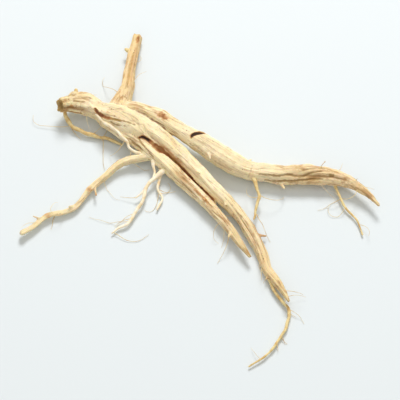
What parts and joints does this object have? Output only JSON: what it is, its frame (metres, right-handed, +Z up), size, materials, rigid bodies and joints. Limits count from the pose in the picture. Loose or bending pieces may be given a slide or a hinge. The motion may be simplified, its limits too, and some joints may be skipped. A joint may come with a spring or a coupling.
{
  "type": "ginseng root",
  "caption": "Dried ginseng root lying flat: a ringed head with a hollow cut end, a thick ridged body, long tapering legs, an upturned side arm and thin wiry rootlets.",
  "frame": {"origin": "under the middle of the root's outline, on the surface it lies on", "axes": "+X from the cut head toward the tips of the legs, +Y toward the right leg and the arm, +Z up"},
  "size_m": [0.1464, 0.1166, 0.0131],
  "materials": {
    "dried_root": "matte dried root skin, pale cream yellow, lengthwise wrinkled"
  },
  "bodies": {
    "root": {"ginseng_root": "dried_root"}
  },
  "joints": []
}
